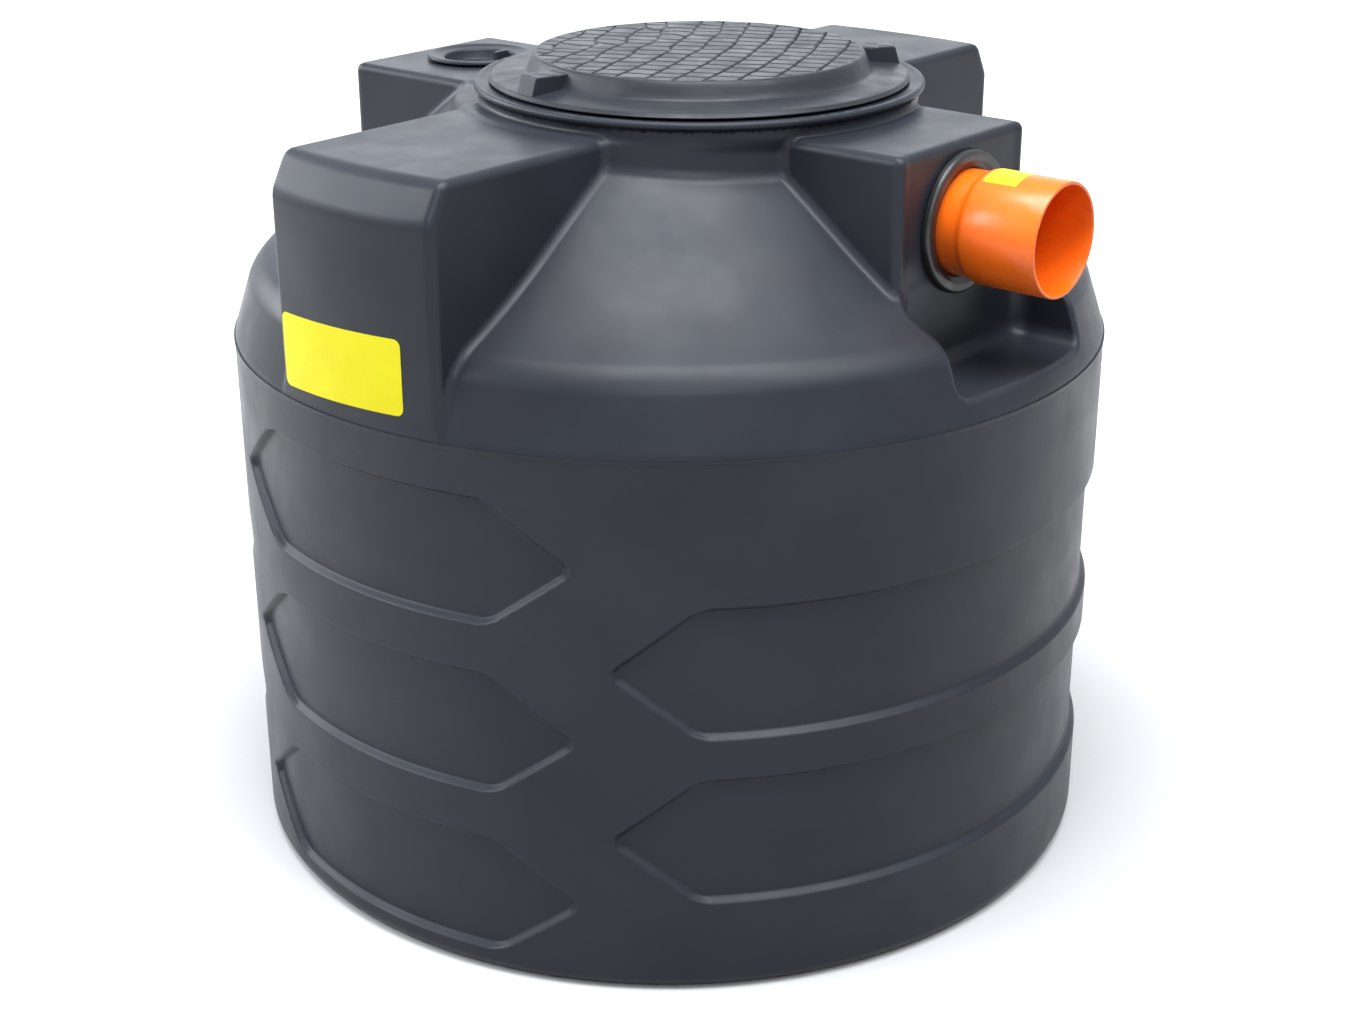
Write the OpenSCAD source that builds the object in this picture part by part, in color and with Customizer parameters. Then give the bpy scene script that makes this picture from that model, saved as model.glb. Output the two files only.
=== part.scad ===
// Rotomoulded septic tank: a round shell with four housings round an offset manhole.
// Origin at the centre of the base, +Z up, outlet along +X, inlet along -X.

/* [Shell] */
// Outside radius of the round wall
body_r = 500; // [460:5:540]
// Height of the mould's parting line, where wall and top meet
parting_z = 600; // [560:5:660]
// Thickness of the moulded wall
wall = 7; // [5:0.5:9]
// Radius of the rounded edge round the base
knuckle_r = 34; // [20:2:44]
// Height at which the base ends and the wall segments begin
base_h = 56; // [50:1:60]

/* [Shoulder] */
// Distance of the shoulder's lower crease in from the round wall
low_crease_in = 25; // [15:1:45]
// Height of the lower crease above the parting line
low_crease_h = 76; // [60:1:80]
// Distance of the shoulder's upper crease in from the lower one
high_crease_in = 79; // [65:1:90]
// Height of the upper crease above the parting line
high_crease_h = 120; // [110:1:130]
// Radius at which the shoulder's cone would reach the flat tops
cone_top_r = 229; // [220:1:232]
// Outside radius of the neck wall
neck_r = 255; // [252:1:259]
// Offset of the neck wall from the tank's axis, towards the outlet
neck_x = 22; // [18:1:26]

/* [Housings] */
// Height of the flat tops of the housings above the parting line
top_h = 256; // [245:1:270]
// Half the width of a housing
arm_half_w = 115; // [105:1:120]
// Distance of the outlet and inlet faces from the tank's axis
face_x = 395; // [385:1:410]
// Height of the ledge below the outlet and inlet faces above the parting line
ledge_h = 24; // [15:1:35]
// Radius of the rounded edges of the housings
arm_round = 11; // [8:1:20]
// Depth of the chamfer on the front and back housings
chamfer_in = 22; // [10:1:30]
// Height of the chamfer on the front and back housings
chamfer_h = 37; // [20:1:45]

/* [Wall panels] */
// Depth of the recessed panels
panel_depth = 11; // [6:0.5:14]
// Width of the sloping border above and below a panel
panel_slope = 12; // [6:1:16]
// Height of a short panel between the middles of its borders
short_panel_h = 134; // [110:1:145]
// Height of the middle of the highest short panel
short_panel_z = 481; // [470:1:490]
// Half the angle from corner to corner of a short panel
short_corner_a = 18.5; // [15:0.5:22]
// Half the angle from tip to tip of a short panel
short_tip_a = 29; // [25:0.5:30]
// Height of a long panel between the middles of its borders
long_panel_h = 142; // [120:1:150]
// Height of the middle of the higher long panel
long_panel_z = 372; // [360:1:380]
// Half the angle from corner to corner of a long panel
long_corner_a = 46.5; // [42:0.5:50]
// Half the angle from tip to tip of a long panel
long_tip_a = 57; // [54:0.5:58]
// Vertical distance from one panel of a column to the next
panel_pitch = 192; // [180:1:200]

/* [Manhole] */
// Offset of the manhole from the tank's axis, towards the outlet
manhole_x = 44; // [36:1:50]
// Radius of the manhole's bore
manhole_r = 206; // [200:1:208]
// Radius of the rounded bead round the manhole, to the middle of the bead
bead_r = 244.5; // [242:0.5:247]
// Radius of the bead's own section
bead_section_r = 4.5; // [3.5:0.5:6]
// Depth of the manhole's collar below the flat tops
collar_depth = 34; // [25:1:45]
// Height of the manhole's lip above the flat tops
lip_h = 19.5; // [16:0.5:24]

/* [Cover] */
// Outside radius of the cover's flange
flange_r = 232.5; // [230:0.5:234]
// Thickness of the cover
cover_t = 3.5; // [2.5:0.5:4]
// Gap between the manhole's lip and the lower edge of the flange's rim
rim_gap = 3; // [2.5:0.5:5]
// Height of the flange's rim
rim_h = 4.7; // [4.5:0.1:8]
// Rise of the flange from its rim to the foot of the dome
flange_rise = 3.8; // [1:0.1:5]
// Radius at the foot of the cover's dome
dome_foot_r = 191; // [186:1:194]
// Radius at the top edge of the dome
dome_top_r = 182; // [174:1:184]
// Height of the dome above its foot
dome_h = 19.5; // [15:0.5:25]
// Depth of the cover's threaded skirt below the flange
skirt_depth = 30; // [20:1:35]
// Clearance between the skirt and the manhole's bore
skirt_gap = 6; // [5:0.5:7]
// Width of a grip lug along the rim
lug_w = 30; // [24:1:40]
// Direction of the back grip lug, from the outlet towards the back
lug_a = 53; // [20:1:70]
// Angle from the back grip lug to the front one
lug_apart_a = 157; // [120:1:180]
// Width of the seal between manhole and cover
seal_w = 16; // [12:1:18]

/* [Pipes] */
// Outside radius of the outlet pipe
pipe_r = 55; // [50:0.5:62.5]
// Wall thickness of the outlet pipe
pipe_t = 3.2; // [2.5:0.1:4]
// Wall thickness of the outlet's socket
socket_t = 4; // [3:0.1:5]
// Depth of the outlet's socket
socket_depth = 78; // [60:1:90]
// Distance of the socket's mouth from the tank's axis
socket_x = 515; // [505:1:530]
// Length of pipe inside the tank
pipe_inside = 60; // [40:1:90]
// Depth of the pipes' axis below the flat tops
pipe_drop = 85; // [80:1:95]
// Outside radius of a rubber grommet's lip
grommet_r = 74.5; // [70:0.5:80]
// Thickness of a grommet's outer lip
grommet_t = 8; // [5:0.5:10]

/* [Vent] */
// Distance of the vent cap from the tank's axis
vent_x = 297; // [290:1:302]
// Outside radius of the vent cap
vent_r = 63; // [58:0.5:65]
// Height of the vent cap's rim above the housing
vent_h = 7; // [5:0.5:9]

/* [Hidden] */

$fn = 96;
seat_gap = 0.3;                        // gap between a moving piece and its seat
fit_gap = 0.2;                         // gap between fixed round pieces
past = 60;                             // how far a cutting shape runs past what it cuts
bead_rise = 2.5;                       // height of the bead's crown above the lip
bead_out = 1.5;                        // from the outside of the ring to the middle of the bead
seal_inset = 3;                        // from the manhole's bore to the seal
rim_lean = 3;                          // how far the rim leans inwards at its top
lug_lean = 6;                          // how far a lug's end leans inwards at its top
lug_drop = 4;                          // from the dome's top down to a lug's top
grommet_w = 7;                         // width of a grommet's neck
inner_lip_w = 6;                       // how far a grommet's inner lip stands out of its neck
inner_lip_t = 9;                       // thickness of a grommet's inner lip
lip_bevel = 3;                         // bevel of a grommet's outer lip
socket_play = 0.5;                     // play of a mating pipe in the socket
swell_run = 8;                         // length over which the pipe widens to its socket
vent_brim = 12;                        // how far the cap's brim covers the housing
vent_socket_t = 4;                     // wall of the socket under the cap
vent_socket_h = 14;                    // depth of that socket below the housing's wall
vent_foot = 3;                         // how far the socket's foot covers the housing
vent_dish = 9;                         // depth of the cap's dish below the housing's top
vent_dish_t = 3;                       // thickness of the cap
shell_colour = "#34373d";
cover_colour = "#232427";
rubber_colour = "#151517";
pipe_colour = "#ee5a12";

top_z = parting_z + top_h;
ledge_z = parting_z + ledge_h;
pipe_z = top_z - pipe_drop;
lip_z = top_z + lip_h;
flange_z = lip_z + rim_gap;
rim_top_z = flange_z + rim_h;
dome_foot_z = rim_top_z + flange_rise;
dome_top_z = dome_foot_z + dome_h;
low_crease_r = body_r - low_crease_in;
high_crease_r = low_crease_r - high_crease_in;
chamfer_r = body_r - chamfer_in;       // radius at the chamfer's top edge
ring_r = bead_r - bead_out;            // outside of the ring below the bead
split_a = 90 - (90 - long_tip_a + short_tip_a) / 2;   // where two wall segments meet
knuckle_steps = 6;
grommet_neck_r = pipe_r + grommet_w;
vent_bore_r = vent_r - vent_brim;
vent_socket_r = vent_bore_r - fit_gap;
vent_plug_r = vent_socket_r - vent_socket_t - fit_gap;

// ---- outlines -------------------------------------------------------------

function arc(cx, cy, r, from, to, n) =
    [for (i = [0 : n]) let (a = from + (to - from) * i / n) [cx + r * cos(a), cy + r * sin(a)]];

// Half section of the round body, with every face moved inwards by inset
module body_outline(inset) {
    offset(delta = -inset) polygon(concat(
        [[-past, 0]],
        arc(body_r - knuckle_r, knuckle_r, knuckle_r, -90, 0, knuckle_steps),
        [[body_r, parting_z], [low_crease_r, parting_z + low_crease_h],
         [high_crease_r, parting_z + high_crease_h], [cone_top_r, top_z], [-past, top_z]]));
}

module body(inset) {
    rotate_extrude() intersection() {
        body_outline(inset);
        square([body_r, top_z]);
    }
}

// Plan of a housing that ends in a flat face, with its outer corners rounded
module flat_plan(inset) {
    w = arm_half_w - inset;
    x = face_x - inset;
    r = arm_round - inset / 2;
    translate([0, -w]) square([x - r, 2 * w]);
    translate([0, -w + r]) square([x, 2 * (w - r)]);
    for (s = [-1, 1]) translate([x - r, s * (w - r)]) circle(r);
}

// Upright section across a housing, with its two top edges rounded
module arm_section(inset) {
    w = arm_half_w - inset;
    h = top_h - inset;
    r = arm_round - inset / 2;
    translate([-w, -past]) square([2 * w, h - r + past]);
    translate([-w + r, -past]) square([2 * (w - r), h + past]);
    for (s = [-1, 1]) translate([s * (w - r), h - r]) circle(r);
}

// Upright section along a flat-ended housing, with its outer top edge rounded
module flat_length(inset) {
    x = face_x - inset;
    h = top_h - inset;
    r = arm_round - inset / 2;
    translate([0, -past]) square([x - r, h + past]);
    translate([0, -past]) square([x, h - r + past]);
    translate([x - r, h - r]) circle(r);
}

// Housing along +X that ends in a flat face
module flat_arm(inset) {
    intersection() {
        translate([0, 0, parting_z - past]) linear_extrude(top_h + past) flat_plan(inset);
        translate([0, 0, parting_z]) rotate([90, 0, 90]) linear_extrude(face_x) arm_section(inset);
        translate([0, arm_half_w, parting_z]) rotate([90, 0, 0])
            linear_extrude(2 * arm_half_w) flat_length(inset);
    }
}

// Housing along -Y that ends flush with the round wall, under a chamfer
module round_arm(inset) {
    intersection() {
        translate([0, 0, parting_z]) rotate([90, 0, 0]) linear_extrude(body_r) arm_section(inset);
        rotate_extrude() intersection() {
            offset(delta = -inset) polygon([[-past, parting_z - past], [body_r, parting_z - past],
                [body_r, top_z - chamfer_h], [chamfer_r, top_z], [-past, top_z]]);
            translate([0, parting_z - past]) square([body_r, top_h + past]);
        }
    }
}

// Space over the ledge in front of a flat face, grown by the wall for the inside
module ledge_space(grow) {
    translate([face_x - grow, -arm_half_w - grow, ledge_z - grow])
        cube([body_r - face_x + past, 2 * (arm_half_w + grow), top_h + past]);
}

// ---- wall panels ----------------------------------------------------------

// Everything to one side of a pointed panel end, whose tip lies in direction tip_a
module pointed_end(tip_a, run, half, reach) {
    rotate([0, 0, tip_a]) translate([-reach, 0, 0]) rotate([90, 0, 90]) linear_extrude(2 * reach)
        polygon([[0, 0], [-2 * run, 2 * half], [-2 * reach, 2 * half],
            [-2 * reach, -2 * half], [-2 * run, -2 * half]]);
}

// One six-sided panel on the +X side: a cut into the wall, or its bulge on the inside
module panel(z, h, corner_a, tip_a, inset) {
    floor_r = body_r - panel_depth - inset;
    mouth_r = floor_r + 2 * panel_depth;
    half = h / 2 + inset;
    lip = panel_slope / 2;
    run = body_r * sin(tip_a - corner_a);
    end_a = tip_a + inset / body_r * 180 / PI;
    translate([0, 0, z]) intersection() {
        rotate_extrude() polygon([[floor_r, -half + lip], [mouth_r, -half - 3 * lip],
            [mouth_r, half + 3 * lip], [floor_r, half - lip]]);
        pointed_end(end_a, run, half + lip, mouth_r);
        mirror([0, 1, 0]) pointed_end(end_a, run, half + lip, mouth_r);
    }
}

module panels(inset) {
    for (side = [0, 180]) {
        rotate([0, 0, side]) for (row = [0, 1])
            panel(long_panel_z - row * panel_pitch, long_panel_h, long_corner_a, long_tip_a, inset);
        rotate([0, 0, side + 90]) for (row = [0 : 2])
            panel(short_panel_z - row * panel_pitch, short_panel_h, short_corner_a, short_tip_a, inset);
    }
}

// ---- whole shell ----------------------------------------------------------

module lower_shell() {
    difference() {
        body(0);
        panels(0);
        difference() {
            body(wall);
            panels(wall);
        }
    }
}

// The neck's round outside, moved inwards by inset
module neck_form(inset) {
    translate([neck_x, 0, parting_z]) cylinder(r = neck_r - inset, h = top_h - inset);
}

module upper_form(inset) {
    difference() {
        union() {
            body(inset);
            neck_form(inset);
            for (side = [0, 180]) rotate([0, 0, side]) {
                flat_arm(inset);
                round_arm(inset);
            }
        }
        for (side = [0, 180]) rotate([0, 0, side]) ledge_space(inset);
    }
}

module upper_shell() {
    difference() {
        upper_form(0);
        upper_form(wall);
        translate([0, 0, -past]) cylinder(r = body_r + past, h = parting_z + past);
    }
}

// Sector of the wall round direction mid, half_a degrees to each side
module sector(mid, half_a, z, h) {
    reach = 3 * body_r;
    translate([0, 0, z]) rotate([0, 0, mid]) linear_extrude(h)
        polygon([[0, 0], [reach * cos(half_a), -reach * sin(half_a)],
            [reach, -reach * sin(half_a)], [reach, reach * sin(half_a)],
            [reach * cos(half_a), reach * sin(half_a)]]);
}

// ---- shell nodes ----------------------------------------------------------

module tank_base() {
    color(shell_colour) intersection() {
        lower_shell();
        cylinder(r = body_r + past, h = base_h);
    }
}

module wall_segment(mid, half_a) {
    color(shell_colour) intersection() {
        lower_shell();
        sector(mid, half_a, base_h, parting_z - base_h);
    }
}

module wall_front() { wall_segment(-90, 90 - split_a); }
module wall_back() { wall_segment(90, 90 - split_a); }
module wall_outlet_side() { wall_segment(0, split_a); }
module wall_inlet_side() { wall_segment(180, split_a); }

module outside_neck() {
    difference() {
        children();
        translate([neck_x, 0, parting_z]) cylinder(r = neck_r, h = top_h + past);
    }
}

// Half section of the shoulder, from the parting line to the flat tops
module shoulder_outline(inset) {
    intersection() {
        body_outline(inset);
        translate([cone_top_r, parting_z]) square([body_r, top_h]);
    }
}

// The shoulder between two housings, with the cheek of a ledge
module shoulder(sx, sy) {
    cheek_x = face_x - wall;
    color(shell_colour) outside_neck() intersection() {
        union() {
            rotate_extrude() difference() {
                shoulder_outline(0);
                shoulder_outline(wall);
            }
            intersection() {
                rotate_extrude() shoulder_outline(0);
                translate([(sx > 0) ? cheek_x : -cheek_x - body_r,
                           (sy > 0) ? arm_half_w : -arm_half_w - wall, ledge_z - wall])
                    cube([body_r, wall, top_h]);
            }
        }
        translate([(sx > 0) ? arm_half_w : -arm_half_w - body_r,
                   (sy > 0) ? arm_half_w : -arm_half_w - body_r, parting_z])
            cube([body_r, body_r, top_h]);
    }
}

module shoulder_front_right() { shoulder(1, -1); }
module shoulder_back_right() { shoulder(1, 1); }
module shoulder_back_left() { shoulder(-1, 1); }
module shoulder_front_left() { shoulder(-1, -1); }

// The part of the upper shell that forms the housing in direction side
module housing(side) {
    outside_neck() intersection() {
        upper_shell();
        rotate([0, 0, side]) translate([0, -arm_half_w, parting_z])
            cube([body_r, 2 * arm_half_w, top_h]);
    }
}

module pipe_hole() {
    translate([0, 0, pipe_z]) rotate([0, 90, 0]) cylinder(r = grommet_neck_r, h = body_r);
}

module outlet_housing() {
    color(shell_colour) difference() {
        housing(0);
        pipe_hole();
    }
}

module vent_hole() {
    translate([-vent_x, 0, top_z - past]) cylinder(r = vent_bore_r, h = 2 * past);
}

module inlet_housing() {
    color(shell_colour) difference() {
        housing(180);
        rotate([0, 0, 180]) pipe_hole();
        vent_hole();
    }
}

module front_housing() { color(shell_colour) housing(-90); }
module back_housing() { color(shell_colour) housing(90); }

module manhole_neck() {
    color(shell_colour) difference() {
        intersection() {
            upper_shell();
            neck_form(0);
        }
        translate([manhole_x, 0, parting_z]) cylinder(r = manhole_r + wall, h = top_h + past);
    }
}

// Half section of the ring that carries the cover: the bore's collar and the rounded bead
module collar_outline() {
    translate([manhole_r, top_z - collar_depth]) square([wall, collar_depth + lip_h]);
    translate([manhole_r, top_z]) square([ring_r - manhole_r, lip_h]);
    translate([bead_r, lip_z + bead_rise - bead_section_r]) circle(bead_section_r);
}

module manhole_collar() {
    color(shell_colour) translate([manhole_x, 0, 0]) rotate_extrude() collar_outline();
}

// ---- cover ----------------------------------------------------------------

module cover_seal() {
    seal_r = manhole_r + seal_inset;
    seal_h = rim_top_z - cover_t - lip_z - 2 * seat_gap;
    color(rubber_colour) translate([manhole_x, 0, lip_z + seat_gap]) difference() {
        cylinder(r = seal_r + seal_w, h = seal_h);
        translate([0, 0, -past]) cylinder(r = seal_r, h = 2 * past);
    }
}

// Grip lug on the cover, a block from the dome to the flange's rim
module lug() {
    foot_z = rim_top_z - cover_t / 2;
    top_z = dome_top_z - lug_drop;
    outer = flange_r - rim_lean;
    translate([0, lug_w / 2, 0]) rotate([90, 0, 0]) linear_extrude(lug_w) polygon([
        [dome_foot_r, foot_z], [outer, foot_z], [outer - lug_lean, top_z], [dome_top_r, top_z]]);
}

// Dome, flange and turned-down rim
module manhole_cover() {
    under_z = rim_top_z - cover_t;
    color(cover_colour) translate([manhole_x, 0, 0]) {
        rotate_extrude() polygon([[0, dome_top_z - cover_t], [dome_top_r - cover_t, dome_top_z - cover_t],
            [dome_foot_r - cover_t, dome_foot_z - cover_t], [dome_foot_r, under_z],
            [flange_r - rim_lean - cover_t, under_z], [flange_r - cover_t, flange_z],
            [flange_r, flange_z], [flange_r - rim_lean, rim_top_z],
            [dome_foot_r, dome_foot_z], [dome_top_r, dome_top_z], [0, dome_top_z]]);
        for (turn = [0, -lug_apart_a]) rotate([0, 0, lug_a + turn]) lug();
    }
}

// The part of the cover that turns inside the manhole
module cover_skirt() {
    skirt_r = manhole_r - skirt_gap;
    color(cover_colour) translate([manhole_x, 0, flange_z - skirt_depth]) difference() {
        cylinder(r = skirt_r, h = rim_top_z - cover_t - flange_z + skirt_depth);
        translate([0, 0, -past]) cylinder(r = skirt_r - cover_t, h = 4 * past);
    }
}

// ---- pipes and grommets ---------------------------------------------------

// Rubber ring through a flat face, along +X
module grommet() {
    inner_x = face_x - wall;
    lip_x = face_x + grommet_t;
    inner_lip_r = grommet_neck_r + inner_lip_w;
    bore_r = pipe_r + fit_gap;
    neck = grommet_neck_r - fit_gap;
    translate([0, 0, pipe_z]) rotate([0, 90, 0]) rotate_extrude() polygon([
        [bore_r, inner_x - inner_lip_t], [inner_lip_r, inner_x - inner_lip_t],
        [inner_lip_r, inner_x], [neck, inner_x], [neck, face_x], [grommet_r, face_x],
        [grommet_r, lip_x - lip_bevel], [grommet_r - lip_bevel, lip_x], [bore_r, lip_x]]);
}

module outlet_grommet() { color(rubber_colour) grommet(); }
module inlet_grommet() { color(rubber_colour) rotate([0, 0, 180]) grommet(); }

module outlet_pipe() {
    socket_bore_r = pipe_r + socket_play;
    socket_r = socket_bore_r + socket_t;
    bore_r = pipe_r - pipe_t;
    inner_end = face_x - wall - pipe_inside;
    stop_x = socket_x - socket_depth;
    color(pipe_colour) translate([0, 0, pipe_z]) rotate([0, 90, 0]) rotate_extrude() polygon([
        [bore_r, inner_end], [pipe_r, inner_end], [pipe_r, stop_x - 2 * swell_run],
        [socket_r, stop_x - swell_run], [socket_r, socket_x], [socket_bore_r, socket_x],
        [socket_bore_r, stop_x], [bore_r, stop_x - swell_run]]);
}

// ---- vent -----------------------------------------------------------------

module vent_socket() {
    socket_h = wall + vent_socket_h;
    color(shell_colour) translate([-vent_x, 0, top_z]) difference() {
        union() {
            translate([0, 0, -socket_h]) cylinder(r = vent_socket_r, h = socket_h);
            cylinder(r = vent_bore_r + vent_foot, h = vent_h / 2 - seat_gap);
        }
        translate([0, 0, -past]) cylinder(r = vent_socket_r - vent_socket_t, h = 2 * past);
    }
}

module vent_cap() {
    floor_r = vent_plug_r - vent_dish;
    brim_z = vent_h / 2;
    edge = vent_h / 4;
    color(cover_colour) translate([-vent_x, 0, top_z]) rotate_extrude() polygon([
        [0, -vent_dish - vent_dish_t], [floor_r, -vent_dish - vent_dish_t], [vent_plug_r, -vent_dish_t],
        [vent_plug_r, brim_z], [vent_r, brim_z], [vent_r, vent_h - edge], [vent_r - edge, vent_h],
        [vent_plug_r - vent_dish_t, vent_h], [floor_r, -vent_dish], [0, -vent_dish]]);
}

tank_base();
wall_front();
wall_back();
wall_outlet_side();
wall_inlet_side();
shoulder_front_right();
shoulder_back_right();
shoulder_back_left();
shoulder_front_left();
outlet_housing();
inlet_housing();
front_housing();
back_housing();
manhole_neck();
manhole_collar();
cover_seal();
manhole_cover();
cover_skirt();
outlet_grommet();
outlet_pipe();
inlet_grommet();
vent_socket();
vent_cap();
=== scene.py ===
import math

import bpy
import numpy as np
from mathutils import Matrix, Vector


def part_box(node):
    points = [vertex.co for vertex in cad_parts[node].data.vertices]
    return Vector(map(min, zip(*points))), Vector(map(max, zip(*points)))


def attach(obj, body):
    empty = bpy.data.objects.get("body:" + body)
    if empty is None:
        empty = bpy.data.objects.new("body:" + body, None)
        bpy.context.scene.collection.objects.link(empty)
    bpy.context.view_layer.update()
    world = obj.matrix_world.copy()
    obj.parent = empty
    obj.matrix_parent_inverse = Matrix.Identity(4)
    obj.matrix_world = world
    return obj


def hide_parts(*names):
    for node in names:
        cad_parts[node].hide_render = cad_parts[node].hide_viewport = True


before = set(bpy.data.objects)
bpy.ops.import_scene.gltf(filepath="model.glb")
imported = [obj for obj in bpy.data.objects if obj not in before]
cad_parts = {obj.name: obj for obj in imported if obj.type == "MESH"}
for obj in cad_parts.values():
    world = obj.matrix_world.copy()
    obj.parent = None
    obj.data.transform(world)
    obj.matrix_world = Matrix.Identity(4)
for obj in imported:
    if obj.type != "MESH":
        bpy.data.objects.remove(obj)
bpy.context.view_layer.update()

import openvdb
from mathutils import Matrix, Vector

# ---- sizes, read from the frame, in metres ----------------------------------

WALL = 0.007                                        # the moulding's thickness
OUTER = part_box("tank_base")[1][0]                   # outside radius of the tank
SKIN = OUTER - 0.001                                # radius of the plain wall, under the parting ridge
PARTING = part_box("wall_front")[1][2]
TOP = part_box("front_housing")[1][2]
HALF_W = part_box("front_housing")[1][0]
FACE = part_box("outlet_grommet")[1][0] - 0.008       # flat faces of the inlet and outlet housings
LEDGE = PARTING + 0.024
LOW_CREASE = (SKIN - 0.025, PARTING + 0.076)
HIGH_CREASE = (0.396, PARTING + 0.120)
CONE_TOP = (0.229, TOP)
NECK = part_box("manhole_neck")
NECK_X = (NECK[0][0] + NECK[1][0]) / 2              # the neck's centre
NECK_R = (NECK[1][0] - NECK[0][0]) / 2
CHAMFER_Y = SKIN - 0.027                            # top edge of the chamfer, at its middle
CHAMFER_LOW = TOP - 0.040                           # its lower edge
ARM_EDGE = 0.009                                    # rounding of the front and back housings' edges
JOIN = 0.008                                        # fillet where housings, neck and shoulder meet
HIDDEN_LAP = 0.010                                  # how far the top reaches down inside the wall
PIPE_HOLE_R = 0.062
VENT_HOLE_R = 0.051
TOP_PITCH = 0.0044        # grid of the moulded top, for its triangle limit

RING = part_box("manhole_collar")
HOLE_X = (RING[0][0] + RING[1][0]) / 2              # the manhole's centre
RING_R = (RING[1][0] - RING[0][0]) / 2
BEAD = 0.0045                                       # section radius of the bead
BEAD_Z = RING[1][2] - BEAD
LIP = RING[1][2] - 0.0025
WALL_R = RING_R - BEAD - 0.0015                     # outside of the ring below the bead
BORE_R = RING_R - 0.043

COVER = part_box("manhole_cover")
FLANGE_R = COVER[1][0] - HOLE_X
DOME_TOP = COVER[1][2]
RIM_LOW = COVER[0][2]
RIM_TOP = RIM_LOW + 0.0047
DOME_R = 0.182
DOME_FOOT_R = 0.191
DOME_FOOT = DOME_TOP - 0.0195

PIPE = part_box("outlet_pipe")
PIPE_Z = (PIPE[0][2] + PIPE[1][2]) / 2
SOCKET_R = (PIPE[1][2] - PIPE[0][2]) / 2
MOUTH = PIPE[1][0]

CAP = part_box("vent_cap")
VENT_X = (CAP[0][0] + CAP[1][0]) / 2
VENT_R = (CAP[1][0] - CAP[0][0]) / 2


# ---- mesh helpers -------------------------------------------------------------

def add_mesh(name, verts, faces, normals=None, smooth=True):
    """A mesh object from arrays of vertices and faces, with its own normals where they are known."""
    verts = np.asarray(verts, dtype=np.float32)
    sizes = np.array([len(f) for f in faces], dtype=np.int32)
    corners = np.concatenate([np.asarray(f, dtype=np.int32) for f in faces]) if len(faces) else []
    mesh = bpy.data.meshes.new(name)
    mesh.vertices.add(len(verts))
    mesh.vertices.foreach_set("co", verts.ravel())
    mesh.loops.add(len(corners))
    mesh.loops.foreach_set("vertex_index", corners)
    mesh.polygons.add(len(sizes))
    starts = np.concatenate([[0], np.cumsum(sizes)[:-1]])
    mesh.polygons.foreach_set("loop_start", starts.astype(np.int32))
    mesh.update(calc_edges=True)
    mesh.validate()
    mesh.polygons.foreach_set("use_smooth", np.full(len(mesh.polygons), smooth))
    if normals is not None:
        mesh.normals_split_custom_set_from_vertices(np.asarray(normals, dtype=np.float32))
    obj = bpy.data.objects.new(name, mesh)
    bpy.context.scene.collection.objects.link(obj)
    return obj


def ring_faces(rings, columns, closed=True, start=0):
    """Quads between rows of vertices, laid out ring by ring."""
    last = columns if closed else columns - 1
    i, j = np.meshgrid(np.arange(rings - 1), np.arange(last), indexing="ij")
    a = start + i * columns + j
    b = start + i * columns + (j + 1) % columns
    return np.stack([a, b, b + columns, a + columns], axis=-1).reshape(-1, 4)


def revolve(name, outline, centre, axis, columns=192):
    """A closed outline of (radius, height) points, turned about an axis through centre."""
    turn = np.linspace(0, 2 * math.pi, columns, endpoint=False)
    outline = np.asarray(outline + outline[:1])
    radius, height = outline[:, 0:1], outline[:, 1:2]
    points = np.stack([radius * np.cos(turn), radius * np.sin(turn), height + 0 * turn], axis=-1)
    points = points.reshape(-1, 3)
    if axis == "x":
        points = points[:, [2, 0, 1]]
    elif axis == "-x":
        points = points[:, [2, 1, 0]] * (-1, 1, 1)
    rows = len(outline) - 1
    faces = ring_faces(len(outline), columns) % (rows * columns)
    return add_mesh(name, points[:rows * columns] + np.asarray(centre), faces[:, ::-1])


def arc_points(cx, cy, r, start, end, steps):
    """Points of an arc in an outline, angles in degrees."""
    turn = np.radians(np.linspace(start, end, steps + 1))
    return [(cx + r * math.cos(t), cy + r * math.sin(t)) for t in turn]


# ---- the moulded top, as a distance field ---------------------------------------

def both(a, b, r):
    """Intersection of two distance fields, with the edge rounded to radius r."""
    u, v = np.maximum(a + r, 0), np.maximum(b + r, 0)
    return np.minimum(np.maximum(a, b), -r) + np.sqrt(u * u + v * v)


def either(a, b, r):
    """Union of two distance fields, with the corner filled to radius r."""
    u, v = np.maximum(r - a, 0), np.maximum(r - b, 0)
    return np.maximum(np.minimum(a, b), r) - np.sqrt(u * u + v * v)


def blend(a, b, k):
    """Union of two distance fields, blended over a width k."""
    h = np.maximum(k - np.abs(a - b), 0) / k
    return np.minimum(a, b) - h * h * k / 4


def slope(rho, z, low, high):
    """Distance outside the cone through two (radius, height) points."""
    dr, dz = high[0] - low[0], high[1] - low[1]
    return ((rho - low[0]) * dz - (z - low[1]) * dr) / math.hypot(dr, dz)


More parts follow.
